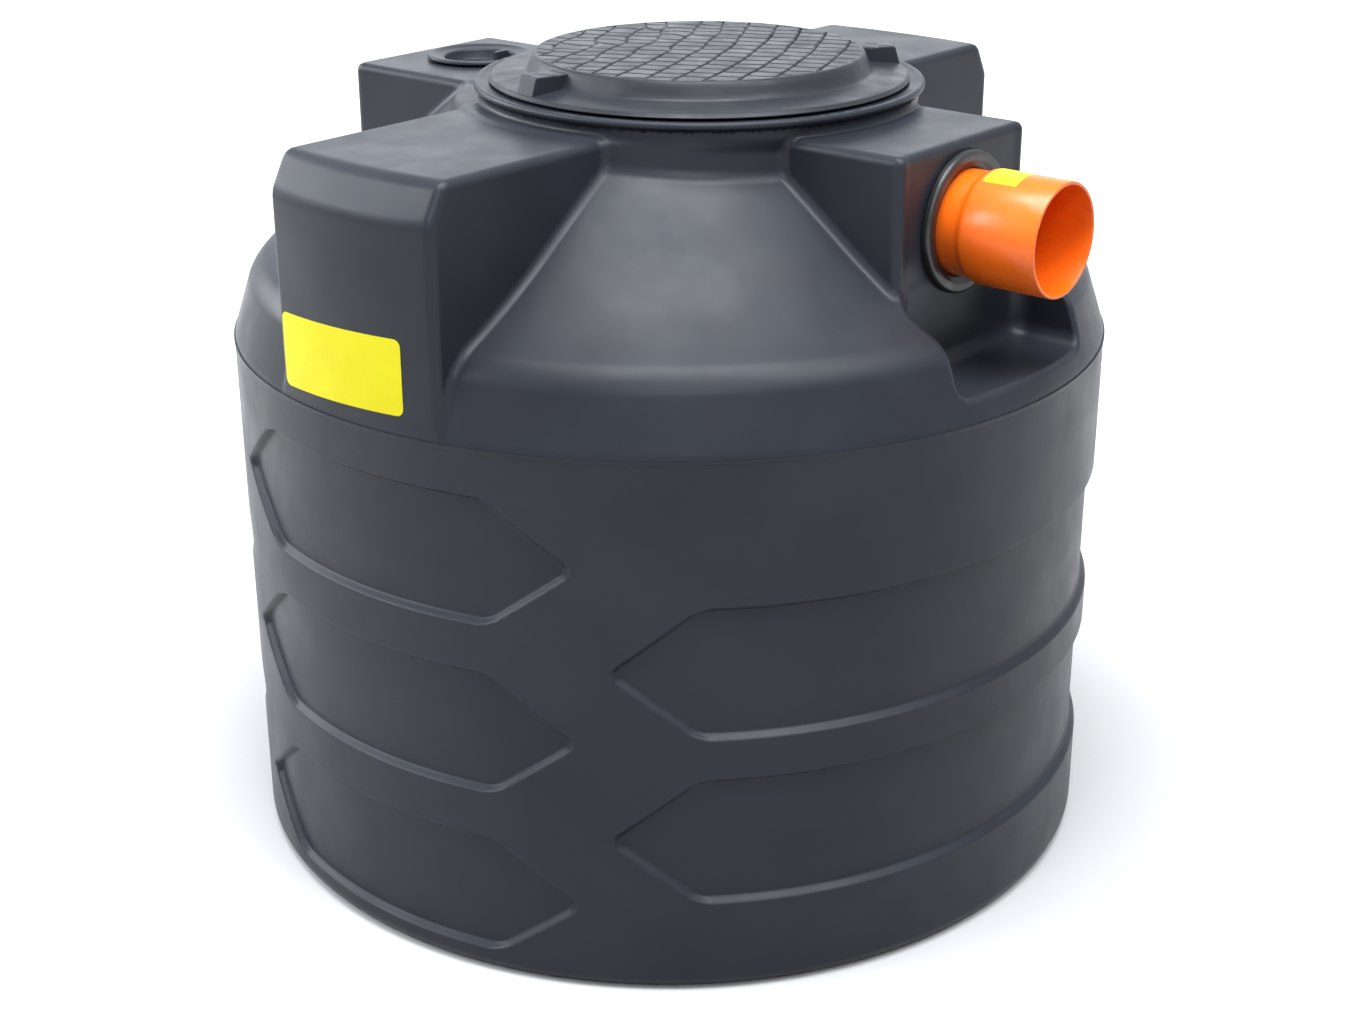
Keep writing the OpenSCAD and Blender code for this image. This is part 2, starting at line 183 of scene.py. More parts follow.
def top_form(x, y, z):
    """Distance outside the moulded top, taken as a full body."""
    rho = np.hypot(x, y)
    lid_rho = np.hypot(x - HOLE_X, y)
    ax, ay = np.abs(x), np.abs(y)
    crown = z - TOP
    edge = rho - SKIN + 0.0005
    band = both(slope(rho, z, (SKIN, PARTING), LOW_CREASE), edge, 0.002)
    shelf = slope(rho, z, LOW_CREASE, HIGH_CREASE)
    cone = slope(rho, z, HIGH_CREASE, CONE_TOP)
    body = both(band, blend(shelf, cone, 0.010), 0.012)
    body = both(either(body, np.hypot(x - NECK_X, y) - NECK_R, JOIN), crown, 0.006)
    lean = np.clip((z - CHAMFER_LOW) / (TOP - CHAMFER_LOW), -5, 1.3)
    curved = np.sqrt(np.maximum(SKIN ** 2 - np.minimum(ax, SKIN) ** 2, 0))
    chamfer = (ay - curved + lean * (curved - CHAMFER_Y + 0.6 * (SKIN - curved))) * 0.83
    end = both(edge, chamfer, 0.004)
    round_arm = both(both(ax - HALF_W, crown, ARM_EDGE), end, ARM_EDGE)
    flat_arm = both(both(ay - HALF_W, crown, ARM_EDGE), ax - FACE, 0.010)
    form = either(body, round_arm, JOIN)
    form = np.maximum(either(form, flat_arm, JOIN), edge)
    space = both(both(FACE - ax, ay - HALF_W, 0.022), LEDGE - z, 0.016)
    form = both(form, -space, 0.006)
    bead = np.hypot(lid_rho - (RING_R - BEAD), z - BEAD_Z) - BEAD
    flare = (lid_rho - WALL_R + TOP - 0.002 - z) * 0.7071
    ring = both(both(lid_rho - WALL_R, flare, 0.006), z - LIP, 0.002)
    return either(form, either(ring, bead, 0.003), 0.006)


def top_shell(x, y, z):
    """Distance outside the moulded top as it is: hollow, with its openings."""
    rho = np.hypot(x - HOLE_X, y)
    form = top_form(x, y, z)
    shell = np.maximum(form, -(form + WALL))
    collar = np.maximum(np.maximum(BORE_R - rho, rho - BORE_R - WALL),
                        np.maximum(TOP - 0.034 - z, z - LIP + 0.001))
    shell = np.minimum(shell, collar)
    shell = both(shell, BORE_R - rho, 0.002)
    pipe = np.maximum(np.hypot(y, z - PIPE_Z) - PIPE_HOLE_R, 0.3 - np.abs(x))
    vent = np.maximum(np.hypot(x - VENT_X, y) - VENT_HOLE_R, 0.8 - z)
    shell = np.maximum(np.maximum(shell, -pipe), -vent)
    return np.maximum(shell, PARTING - HIDDEN_LAP - z)


def gradient(field, p, step=0.0008):
    """Unit direction in which a field grows, at the rows of p."""
    out = []
    for k in range(3):
        d = np.zeros(3)
        d[k] = step
        out.append(field(*(p + d).T) - field(*(p - d).T))
    g = np.stack(out, axis=-1)
    return g / np.maximum(np.linalg.norm(g, axis=1, keepdims=True), 1e-9)


def mesh_field(field, low, high, pitch):
    """The zero surface of a distance field, with vertices and normals set on the field itself."""
    counts = [int((b - a) / pitch) + 2 for a, b in zip(low, high)]
    axes = [a + pitch * np.arange(n) for a, n in zip(low, counts)]
    x, y, z = np.meshgrid(*axes, indexing="ij", sparse=True)
    values = np.broadcast_to(field(x, y, z), counts).astype(np.float32)
    grid = openvdb.FloatGrid(1.0)
    grid.copyFromArray(np.ascontiguousarray(values))
    points, quads = grid.convertToQuads(0.0)
    points = points.astype(np.float64) * pitch + np.asarray(low)
    for _ in range(3):
        g = gradient(field, points)
        points -= g * np.clip(field(*points.T), -pitch / 2, pitch / 2)[:, None]
    return points, quads.astype(np.int64), gradient(field, points)


def add_part_of_field(name, points, quads, normals, keep):
    """A mesh of the kept faces of a larger surface."""
    quads = quads[keep]
    used, index = np.unique(quads, return_inverse=True)
    return add_mesh(name, points[used], index.reshape(-1, 4), normals[used])


def moulded_top(material):
    """Shoulder, housings, neck and bead: one smooth moulding, as an outer and an inner skin."""
    reach = OUTER + 0.008
    points, quads, _ = mesh_field(top_shell, (-reach, -reach, PARTING - 0.016),
                                  (reach, reach, TOP + 0.030), TOP_PITCH)
    outwards = gradient(top_form, points)
    faces = gradient(top_shell, points)
    skin = np.sum(outwards * faces, axis=1, keepdims=True)
    normals = np.where(skin > 0.93, outwards, faces)
    middle = points[quads].mean(axis=1)
    outer = top_form(*middle.T) > -WALL / 2
    upper = add_part_of_field("moulded_top", points, quads, normals, outer)
    under = add_part_of_field("moulded_top_inside", points, quads, normals, ~outer)
    for obj in (upper, under):
        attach(obj, "tank")
        obj.data.materials.append(material)
    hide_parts("shoulder_front_right", "shoulder_back_right", "shoulder_back_left",
                "shoulder_front_left", "outlet_housing", "inlet_housing", "front_housing",
                "back_housing", "manhole_neck", "manhole_collar")


# ---- the moulded wall with its panels ---------------------------------------------

PANEL_DEPTH = 0.0078
BORDER = 0.0038                                     # half the width of a panel's sloping border
KNUCKLE = 0.018                                     # radius of the lower edge
SHORT = (0.067, math.radians(18.5), math.radians(29), (0.481, 0.289, 0.097))
LONG = (0.071, math.radians(46.5), math.radians(57), (0.372, 0.180))


def hexagon(turn, z, half, corner, tip):
    """Distance outside a six-sided panel, measured along the wall."""
    along = np.abs(turn) - tip
    run = tip - corner
    length = math.hypot(run * SKIN, half)
    up = (along * SKIN * half + z * run * SKIN) / length
    down = (along * SKIN * half - z * run * SKIN) / length
    return both(both(up, down, 0.012), np.abs(z) - half, 0.008)


def step(t):
    """A smooth step from 0 to 1."""
    t = np.clip(t, 0, 1)
    return t * t * (3 - 2 * t)


def wall_radius(turn, z):
    """Outside radius of the tank's wall at an angle and a height."""
    depth = np.zeros(np.broadcast(turn, z).shape)
    for centre, panel in ((0, LONG), (math.pi, LONG), (math.pi / 2, SHORT), (-math.pi / 2, SHORT)):
        half, corner, tip, heights = panel
        around = np.mod(turn - centre + math.pi, 2 * math.pi) - math.pi
        for height in heights:
            away = hexagon(around, z - height, half, corner, tip)
            ramp_in = np.clip((BORDER - away) / (2 * BORDER), 0, 1)
            depth = np.maximum(depth, PANEL_DEPTH * (0.65 * step(ramp_in) + 0.35 * ramp_in))
    low = np.clip(KNUCKLE - z, 0, KNUCKLE)
    round_in = KNUCKLE - np.sqrt(np.maximum(KNUCKLE ** 2 - low ** 2, 0))
    ridge = 0.0008 * step((z - PARTING + 0.0042) / 0.0022)
    return np.minimum(SKIN - depth + ridge, SKIN - round_in + ridge)


def wall_points(turn, z, inset):
    """Points of the wall, moved inwards by inset."""
    radius = wall_radius(turn, z) - inset
    return np.stack(np.broadcast_arrays(radius * np.cos(turn), radius * np.sin(turn), z), axis=-1)


def wall_normals(turn, z):
    """Outward directions of the wall's surface."""
    step_turn, step_z = 0.0008, 0.0004
    along = wall_points(turn + step_turn, z, 0) - wall_points(turn - step_turn, z, 0)
    up = wall_points(turn, z + step_z, 0) - wall_points(turn, z - step_z, 0)
    normal = np.cross(along, up)
    return normal / np.linalg.norm(normal, axis=-1, keepdims=True)


def wall_columns(close, wide):
    """Angles of the wall's columns, close together where the panels' pointed ends lie."""
    angles, turn = [], 0.0
    while turn < 360 - 1e-6:
        from_x = min(turn % 180, 180 - turn % 180)
        from_y = 90 - from_x
        angles.append(turn)
        turn += close if 44.5 < from_x < 58 or 16.5 < from_y < 30 else wide
    return np.radians(angles)


def wall_rows(close, wide):
    """Heights of the wall's rows, close together at the panels' borders."""
    edges = [h + s * p[0] for p in (SHORT, LONG) for h in p[3] for s in (-1, 1)]
    rows, z = [], KNUCKLE
    while z < PARTING - 0.0045:
        rows.append(z)
        z += close if min(abs(z - e) for e in edges) < 0.0085 else wide
    low = [KNUCKLE * (1 - math.cos(math.radians(a))) for a in range(9, 90, 9)]
    return np.array(low + rows + [PARTING - 0.0042, PARTING - 0.003, PARTING - 0.002, PARTING])


def shell_of_rows(name, rows, normals, pole, material):
    """A surface laid out in rows round the axis, closed in the middle of the floor, in two halves."""
    count = rows.shape[1]
    last = (len(rows) - 1) * count
    points = np.concatenate([rows.reshape(-1, 3), [(0, 0, rows[-1, 0, 2])]])
    normals = np.concatenate([normals.reshape(-1, 3), [pole]])
    quads = ring_faces(len(rows), count)
    closing = np.array([(len(points) - 1, last + j, last + (j + 1) % count) for j in range(count)])
    halves = []
    for half, side in (("front", -1), ("back", 1)):
        faces = [f for kind in (quads, closing)
                 for f in kind[points[kind].mean(axis=1)[:, 1] * side > 0]]
        used, index = np.unique(np.concatenate(faces), return_inverse=True)
        ends = np.cumsum([len(f) for f in faces])[:-1]
        obj = add_mesh(name + "_" + half, points[used], np.split(index, ends), normals[used])
        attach(obj, "tank")
        obj.data.materials.append(material)
        halves.append(obj)
    return halves


def moulded_wall(material):
    """The tank's wall and floor, with its panels pressed in: an outer and an inner skin."""
    turn, z = wall_columns(0.32, 1.5), wall_rows(0.0012, 0.0026)[::-1]
    outer = wall_points(turn[None, :], z[:, None], 0)
    slant = wall_normals(turn[None, :], np.minimum(z, PARTING - 0.0012)[:, None])
    floor = outer[-1:].copy()
    floor[:, :, :2] *= (SKIN - KNUCKLE) / np.linalg.norm(floor[:, :, :2], axis=2, keepdims=True)
    floor[:, :, 2] = 0
    down = 0 * floor + (0, 0, -1)
    front, back = shell_of_rows("moulded_wall", np.concatenate([outer, floor])[:, ::-1],
                                np.concatenate([slant, down])[:, ::-1], (0, 0, -1), material)
    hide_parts("tank_base", "wall_front", "wall_outlet_side")
    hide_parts("wall_back", "wall_inlet_side")
    turn, z = wall_columns(0.8, 2.4), np.concatenate([wall_rows(0.004, 0.010)[::-1], [WALL]])
    held = np.clip(z, KNUCKLE, None)
    inner = wall_points(turn[None, :], held[:, None], WALL)
    inner[:, :, 2] = np.maximum(z, WALL)[:, None]
    rim = wall_points(turn[None, :], z[:1, None], 0.0001)
    shell_of_rows("moulded_wall_inside", np.concatenate([rim, inner]),
                  np.concatenate([0 * rim + (0, 0, 1), -wall_normals(turn[None, :], held[:, None])]),
                  (0, 0, 1), material)


# ---- the cover ----------------------------------------------------------------------

ROW = 0.031                                         # from one row of cobbles to the next
STONE = 0.0235                                      # mean length of a cobble along its row
ROW_TURN = math.radians(115)
PATTERN_DEPTH = 0.0022
LUG_PITCH = 0.0011
LUG_REACH = 0.042                                   # half the block of space that holds a lug


def ripple(x, y, seed, scale):
    """Smooth irregular values between about -1 and 1, the same at every run."""
    rng = np.random.default_rng(seed)
    total = 0
    for _ in range(6):
        direction = rng.uniform(0, 2 * math.pi)
        wave = rng.uniform(0.7, 1.5) / scale
        shift = rng.uniform(0, 2 * math.pi)
        total = total + np.sin((x * math.cos(direction) + y * math.sin(direction)) * wave + shift)
    return total / 3.2


def cobbles(x, y):
    """Depth of the grooves between the cobbles, from 0 on a stone to 1 in a groove."""
    rough = step((0.05 - x) / 0.20)
    wx = x + (0.0010 + 0.0055 * rough) * ripple(x, y, 3, 0.012)
    wy = y + (0.0010 + 0.0055 * rough) * ripple(x, y, 4, 0.012)
    u = wx * math.cos(ROW_TURN) + wy * math.sin(ROW_TURN)
    v = wx * math.sin(ROW_TURN) - wy * math.cos(ROW_TURN) + 0.45 * u * u
    row = np.floor(v / ROW)
    across = (v / ROW - row) * ROW
    shift = np.mod(row, 2) * STONE / 2 + 0.004 * np.sin(row * 12.9898)
    along = (u + shift) / STONE
    stone = np.floor(along + 0.12 * np.sin(np.floor(along) * 5.1 + row * 3.7))
    near = np.abs(along - np.round(along)) * STONE
    to_row = np.minimum(across, ROW - across)
    rows = 1 - step((to_row - 0.0003) / 0.0018)
    faded = 0.5 * rough * step(np.sin(stone * 7.3 + row * 2.1))
    joints = (1 - step((near - 0.0003) / 0.0016)) * (0.95 - faded)
    return np.maximum(rows * (1 - 0.25 * rough), joints)


def cover_profile(r):
    """Height of the cover's upper face at a radius, without the pattern."""
    side = DOME_FOOT
    points = [(0, DOME_TOP), (DOME_R - 0.003, DOME_TOP), (DOME_R - 0.0012, DOME_TOP - 0.0005),
              (DOME_R + 0.0006, DOME_TOP - 0.0022), (DOME_FOOT_R - 0.0016, side + 0.0026),
              (DOME_FOOT_R + 0.0002, side + 0.0008), (DOME_FOOT_R + 0.0025, side - 0.0001),
              (FLANGE_R - 0.0065, RIM_TOP + 0.0004), (FLANGE_R - 0.0042, RIM_TOP),
              (FLANGE_R - 0.0030, RIM_TOP - 0.0007)]
    xs, zs = zip(*points)
    return np.interp(r, xs, zs)


def round_grid(radii):
    """Rings of vertices about the centre, each with eight more than the one inside it."""
    points, starts = [(0.0, 0.0)], [0]
    for k, r in enumerate(radii, 1):
        starts.append(len(points))
        turn = np.arange(8 * k) * (2 * math.pi / (8 * k))
        points.extend(zip(r * np.cos(turn), r * np.sin(turn)))
    faces = [(0, 1 + j, 1 + (j + 1) % 8) for j in range(8)]
    for k in range(2, len(radii) + 1):
        inner, outer, side = starts[k - 1], starts[k], k - 1
        for octant in range(8):
            for j in range(side):
                a = inner + octant * side + j
                b = inner + (octant * side + j + 1) % (8 * side)
                c = outer + octant * k + j
                faces.append((a, c, c + 1, b))
            a = inner + (octant * side + side) % (8 * side)
            c = outer + octant * k + k - 1
            faces.append((a, c, outer + (octant * k + k) % (8 * k)))
    return np.array(points), faces, starts[-1]


def manhole_cover(material):
    """The round cover: a cobbled dome on a flange with a deep rim."""
    inner = 124
    radii = list(np.linspace(0, DOME_R - 0.003, inner)[1:])
    radii += [DOME_R - 0.0021, DOME_R - 0.0012, DOME_R - 0.0003, DOME_R + 0.0006]
    radii += list(np.linspace(DOME_R + 0.0006, DOME_FOOT_R - 0.0016, 4)[1:])
    radii += [DOME_FOOT_R - 0.0007, DOME_FOOT_R + 0.0002, DOME_FOOT_R + 0.0012, DOME_FOOT_R + 0.0025]
    radii += list(np.linspace(DOME_FOOT_R + 0.0025, FLANGE_R - 0.0065, 6)[1:])
    radii += [FLANGE_R - 0.0054, FLANGE_R - 0.0042, FLANGE_R - 0.0035, FLANGE_R - 0.0030]
    flat, faces, last = round_grid(radii)
    r = np.hypot(*flat.T)
    edge = 1 - step((r - DOME_R + 0.0055) / 0.0020)
    pattern = cobbles(flat[:, 0], flat[:, 1]) * edge
    z = cover_profile(r) - PATTERN_DEPTH * pattern
    points = np.column_stack([flat, z])
    count = 8 * len(radii)
    turn = np.arange(count) * (2 * math.pi / count)
    under = RIM_TOP - 0.0035
    below = [(FLANGE_R - 0.0025, RIM_TOP - 0.0016), (FLANGE_R - 0.0002, RIM_LOW + 0.0010),
             (FLANGE_R - 0.0003, RIM_LOW + 0.0002), (FLANGE_R - 0.0010, RIM_LOW),
             (FLANGE_R - 0.0034, RIM_LOW), (FLANGE_R - 0.0040, RIM_LOW + 0.0006),
             (FLANGE_R - 0.0056, under), (DOME_FOOT_R - 0.004, under),
             (DOME_R - 0.004, DOME_TOP - 0.0040), (0.001, DOME_TOP - 0.0040)]
    rings = [np.column_stack([a * np.cos(turn), a * np.sin(turn), 0 * turn + h]) for a, h in below]
    start = len(points)
    points = np.concatenate([points] + rings)
    faces += [(last + j, start + j, start + (j + 1) % count, last + (j + 1) % count)
              for j in range(count)]
    faces += list(ring_faces(len(below), count, start=start)[:, [0, 3, 2, 1]])
    obj = add_mesh("cobbled_cover", points + (HOLE_X, 0, 0), faces)
    # the grooves' depth, kept as an attribute so that the cover's material paints shade into them
    groove = np.zeros(len(points), dtype=np.float32)
    groove[:len(flat)] = pattern
    obj.data.attributes.new("groove", "FLOAT", "POINT").data.foreach_set("value", groove)
    obj.data.set_sharp_from_angle(angle=math.radians(50))
    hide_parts("manhole_cover")
    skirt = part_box("cover_skirt")
    outer, inside = (skirt[1][0] - skirt[0][0]) / 2, (skirt[1][0] - skirt[0][0]) / 2 - 0.004
    low, high = skirt[0][2], skirt[1][2]
    ring = revolve("cover_skirt_ring", [(inside, high), (inside, low + 0.001), (inside + 0.001, low),
                                        (outer - 0.001, low), (outer, low + 0.001), (outer, high)],
                   (HOLE_X, 0, 0), "z")
    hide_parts("cover_skirt")
    lugs = [cover_lug("cover_lug_far", 53), cover_lug("cover_lug_near", -104)]
    for piece in [obj, ring] + lugs:
        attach(piece, "cover")
        piece.data.materials.append(material)


def cover_lug(name, degrees):
    """A radial block on the flange, patterned like the dome it grows out of."""
    turn = math.radians(degrees)
    c, s = math.cos(turn), math.sin(turn)
    top, end = DOME_TOP - 0.004, FLANGE_R - 0.0045

    def form(x, y, z):
        dx, dy = x - HOLE_X, y
        out, side = dx * c + dy * s, np.abs(dy * c - dx * s)
        block = both(side - 0.015, z - top + 0.0008 * cobbles(dx, dy), 0.0010)
        block = both(block, slope(out, z, (end, RIM_TOP), (end - 0.006, top)), 0.0010)
        block = np.maximum(block, DOME_R - 0.008 - out)
        return np.maximum(block, RIM_TOP - 0.001 - z)

    out = (DOME_R + end) / 2
    x, y = HOLE_X + out * c, out * s
    points, quads, normals = mesh_field(form, (x - LUG_REACH, y - LUG_REACH, RIM_TOP - 0.004),
                                        (x + LUG_REACH, y + LUG_REACH, top + 0.004), LUG_PITCH)
    return add_mesh(name, points, quads, normals)


def cover_seal(material):
    """The rubber ring the cover rests on."""
    low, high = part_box("cover_seal")
    outer, z0, z1 = high[0] - HOLE_X, low[2], high[2]
    inside = outer - 0.016
    obj = revolve("seal_ring", [(inside, z1 - 0.001), (inside, z0 + 0.001), (inside + 0.001, z0),
                                (outer - 0.001, z0), (outer, z0 + 0.001), (outer, z1 - 0.001),
                                (outer - 0.001, z1), (inside + 0.001, z1)], (HOLE_X, 0, 0), "z")
    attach(obj, "seal")
    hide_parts("cover_seal")
    obj.data.materials.append(material)


# ---- pipe, rubber seals and vent cap --------------------------------------------------

def outlet_pipe(material):
    """Socketed drain pipe stub with a swell and a rounded mouth."""
    neck, bore = SOCKET_R - 0.0045, SOCKET_R - 0.0045 - 0.0032
    socket = SOCKET_R - 0.004
    swell, stop, start = MOUTH - 0.094, MOUTH - 0.078, PIPE[0][0]
    outline = [(bore, start), (neck - 0.001, start), (neck, start + 0.001), (neck, swell - 0.002),
               (neck + 0.0002, swell), (neck + 0.0010, swell + 0.002),
               (SOCKET_R - 0.0010, swell + 0.006), (SOCKET_R - 0.0002, swell + 0.008),
               (SOCKET_R, swell + 0.010), (SOCKET_R, MOUTH - 0.0016),
               (SOCKET_R - 0.0005, MOUTH - 0.0005), (SOCKET_R - 0.0016, MOUTH),
               (socket + 0.0016, MOUTH),
               (socket + 0.0005, MOUTH - 0.0005), (socket, MOUTH - 0.0016), (socket, stop + 0.001),
               (socket - 0.001, stop), (bore + 0.001, stop), (bore, stop - 0.001)]
    obj = revolve("drain_stub", outline, (0, 0, PIPE_Z), "x", 160)
    obj.data.set_sharp_from_angle(angle=math.radians(40))
    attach(obj, "tank")
    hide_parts("outlet_pipe")
    obj.data.materials.append(material)


def grommet(name, node, axis, bore, material):
    """Rubber seal in a housing's face: a thick rounded lip outside and a thin one inside."""
    low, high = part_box(node)
    lip = (high[1] - low[1]) / 2
    far, near = (high[0], low[0]) if axis == "x" else (-low[0], -high[0])
    neck, face = bore + 0.007, far - 0.008
    outline = [(bore + 0.001, near), (neck + 0.004, near), (neck + 0.006, near + 0.002),
               (neck + 0.006, face - WALL - 0.003), (neck, face - WALL - 0.001), (neck, face),
               (lip, face), (lip, far - 0.0042)]
    outline += arc_points(lip - 0.0042, far - 0.0042, 0.0042, 0, 90, 8)[1:]
    outline += [(bore + 0.010, far), (bore + 0.0085, far - 0.0004), (bore + 0.007, far - 0.0016),
                (bore + 0.004, far - 0.0030), (bore + 0.0015, far - 0.0036), (bore, far - 0.0048),
                (bore, near + 0.001)]
    obj = revolve(name, outline, (0, 0, PIPE_Z), axis, 160)
    obj.data.set_sharp_from_angle(angle=math.radians(55))
    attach(obj, "tank")
    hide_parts(node)
    obj.data.materials.append(material)


def vent(material):
    """Push-in cap: a broad rounded brim round a shallow dish, over its socket."""
    brim, foot = CAP[1][2], TOP + 0.0002
    floor = CAP[0][2]
    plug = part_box("vent_socket")[1][0] - VENT_X - 0.0075
    outline = [(0.0008, floor)]
    outline += [(plug - 0.001, floor), (plug, floor + 0.001), (plug, foot), (VENT_R - 0.006, foot),
                (VENT_R - 0.004, foot + 0.0022), (VENT_R, foot + 0.0032)]
    outline += arc_points(VENT_R - 0.0025, brim - 0.0025, 0.0025, 0, 90, 7)
    outline += arc_points(VENT_R - 0.0055, brim - 0.0025, 0.0025, 90, 125, 4)
    outline += arc_points(plug - 0.001, brim - 0.0065, 0.003, 70, 170, 6)
    outline += [(plug - 0.0048, floor + 0.0045), (plug - 0.006, floor + 0.0033),
                (plug - 0.008, floor + 0.003), (0.0008, floor + 0.003)]
    cap = revolve("vent_cap_dished", outline, (VENT_X, 0, 0), "z", 128)
    cap.data.set_sharp_from_angle(angle=math.radians(50))
    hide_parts("vent_cap")
    web = vent_web(floor, brim, plug)
    for piece in (cap, web):
        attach(piece, "tank")
        piece.data.materials.append(material)


def vent_web(floor, brim, plug):
    """The small grip rib inside the dish, against its far side."""
    def form(x, y, z):
        dx, dy = x - VENT_X, y
        rib = both(np.abs(dx) - 0.0035, z - brim + 0.0030, 0.0012)
        rib = both(rib, dy - plug + 0.003, 0.001)
        rib = both(rib, 0.0262 - dy, 0.0015)
        return np.maximum(rib, floor + 0.002 - z)

    points, quads, normals = mesh_field(form, (VENT_X - 0.008, 0.020, floor),
                                        (VENT_X + 0.008, plug + 0.004, brim + 0.002), 0.0010)
    return add_mesh("vent_grip_rib", points, quads, normals)


# ---- labels ---------------------------------------------------------------------------

def wrapped_label(name, middle, tilt, half, corner, radius, lift, axis, material):
    """A thin label with rounded corners, wrapped round a cylinder and slightly tilted."""
    across, up = 44, 12
    points = []
    for layer in (0, 1):
        for j in range(up + 1):
            for i in range(across + 1):
                u = -half[0] * math.cos(math.pi * i / across)
                over = max(abs(u) - half[0] + corner, 0)
                reach = half[1] - corner + math.sqrt(max(corner ** 2 - over ** 2, 0))
                v = (2 * j / up - 1) * reach
                points.append((middle[0] + u, middle[1] + v + tilt * u, radius + lift * layer))
    u, v, r = np.array(points).T
    if axis == "z":
        turn = u / radius - math.pi / 2
        points = np.column_stack([r * np.cos(turn), r * np.sin(turn), v])
    else:
        turn = v / radius
        points = np.column_stack([u, -r * np.sin(turn), PIPE_Z + r * np.cos(turn)])
    count = (up + 1) * (across + 1)
    top = ring_faces(up + 1, across + 1, closed=False)
    faces = [tuple(f + count) for f in top] + [tuple(f[::-1]) for f in top]
    border = list(range(across)) + [across + j * (across + 1) for j in range(up)]
    border += [up * (across + 1) + across - i for i in range(across)]
    border += [(up - j) * (across + 1) for j in range(up)]
    faces += [(a, b, b + count, a + count) for a, b in zip(border, border[1:] + border[:1])]
    obj = add_mesh(name, points, faces)
    obj.data.set_sharp_from_angle(angle=math.radians(40))
    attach(obj, "tank")
    obj.data.materials.append(material)


def labels(material):
    """Two blank yellow labels: one on the front housing, one on the pipe."""
    wrapped_label("blank_label", (-0.0155, PARTING + 0.057), 0.035, (0.0905, 0.0395), 0.008,
                  SKIN - 0.0003, 0.0004, "z", material)
    wrapped_label("pipe_label", (MOUTH - 0.063, 0.006), 0.0, (0.019, 0.022), 0.0015,
                  SOCKET_R + 0.00005, 0.0002, "x", material)


# ---- materials ------------------------------------------------------------------------

def node_material(name, colour, roughness, specular=0.5):
    """A principled material with its nodes, for the functions below to add to."""
    material = bpy.data.materials.new(name)
    material.use_nodes = True
    tree = material.node_tree
    shader = tree.nodes["Principled BSDF"]
    shader.inputs["Base Color"].default_value = (*colour, 1)
    shader.inputs["Roughness"].default_value = roughness
    shader.inputs["Specular IOR Level"].default_value = specular
    return material, tree, shader


def noise(tree, scale, detail=4.0, rough=0.55):
    """Noise in the object's own coordinates."""
    place = tree.nodes.get("place") or tree.nodes.new("ShaderNodeTexCoord")
    place.name = "place"
    node = tree.nodes.new("ShaderNodeTexNoise")
    node.inputs["Scale"].default_value = scale
    node.inputs["Detail"].default_value = detail
    node.inputs["Roughness"].default_value = rough
    tree.links.new(place.outputs["Object"], node.inputs["Vector"])
    return node.outputs["Fac"]


def ramp(tree, value, stops):
    """A colour ramp with the given (place, colour) stops."""
    node = tree.nodes.new("ShaderNodeValToRGB")
    while len(node.color_ramp.elements) < len(stops):
        node.color_ramp.elements.new(0.5)
    for element, (place, colour) in zip(node.color_ramp.elements, stops):
        element.position = place
        element.color = (*colour, 1)
    tree.links.new(value, node.inputs["Fac"])
    return node.outputs["Color"]


def span(tree, value, low, high, to_low, to_high):
    """A value carried from one range to another."""
    node = tree.nodes.new("ShaderNodeMapRange")
    for key, number in zip(("From Min", "From Max", "To Min", "To Max"), (low, high, to_low, to_high)):
        node.inputs[key].default_value = number
    tree.links.new(value, node.inputs["Value"])
    return node.outputs["Result"]


def relief(tree, shader, value, distance, strength=1.0):
    """Fine relief on the surface."""
    node = tree.nodes.new("ShaderNodeBump")
    node.inputs["Distance"].default_value = distance
    node.inputs["Strength"].default_value = strength
    tree.links.new(value, node.inputs["Height"])
    tree.links.new(node.outputs["Normal"], shader.inputs["Normal"])


def shell_material():
    """Blue-black moulded plastic, slightly wavy, with faint dust and handling marks."""
    material, tree, shader = node_material("moulded_plastic", (0.018, 0.020, 0.027), 0.36, 0.22)
    tone = ramp(tree, noise(tree, 5.0, 6),
                [(0.36, (0.015, 0.017, 0.023)), (0.64, (0.021, 0.024, 0.032))])
    tree.links.new(tone, shader.inputs["Base Color"])
    tree.links.new(span(tree, noise(tree, 14.0, 5), 0.3, 0.7, 0.34, 0.46), shader.inputs["Roughness"])
    relief(tree, shader, noise(tree, 22.0, 3, 0.4), 0.0012, 0.35)
    return material


def cover_material():
    """Dark compression-moulded plastic, a little rougher and greyer; the cobbles' grooves get painted
    shade: near-black colour and less specular.
    """
    material, tree, shader = node_material("cover_plastic", (0.033, 0.036, 0.044), 0.40, 0.3)
    tone = ramp(tree, noise(tree, 9.0, 7),
                [(0.35, (0.018, 0.020, 0.025)), (0.66, (0.025, 0.027, 0.032))])
    # painted shade: the grooves' depth mixes the colour towards near-black, standing in for the shade
    # that falls in them
    groove = tree.nodes.new("ShaderNodeAttribute")
    groove.attribute_name = "groove"
    painted_groove_shade = tree.nodes.new("ShaderNodeMix")
    painted_groove_shade.data_type = "RGBA"
    painted_groove_shade.inputs["B"].default_value = (0.004, 0.004, 0.005, 1)
    tree.links.new(groove.outputs["Fac"], painted_groove_shade.inputs["Factor"])
    tree.links.new(tone, painted_groove_shade.inputs["A"])
    tree.links.new(painted_groove_shade.outputs["Result"], shader.inputs["Base Color"])
    # painted shade: the grooves also get less specular, so they stay dark
    groove_shade_specular = span(tree, groove.outputs["Fac"], 0.0, 1.0, 0.22, 0.03)
    tree.links.new(groove_shade_specular, shader.inputs["Specular IOR Level"])
    tree.links.new(span(tree, noise(tree, 30.0, 6), 0.3, 0.7, 0.30, 0.50), shader.inputs["Roughness"])
    relief(tree, shader, noise(tree, 260.0, 3), 0.0004, 0.30)
    return material


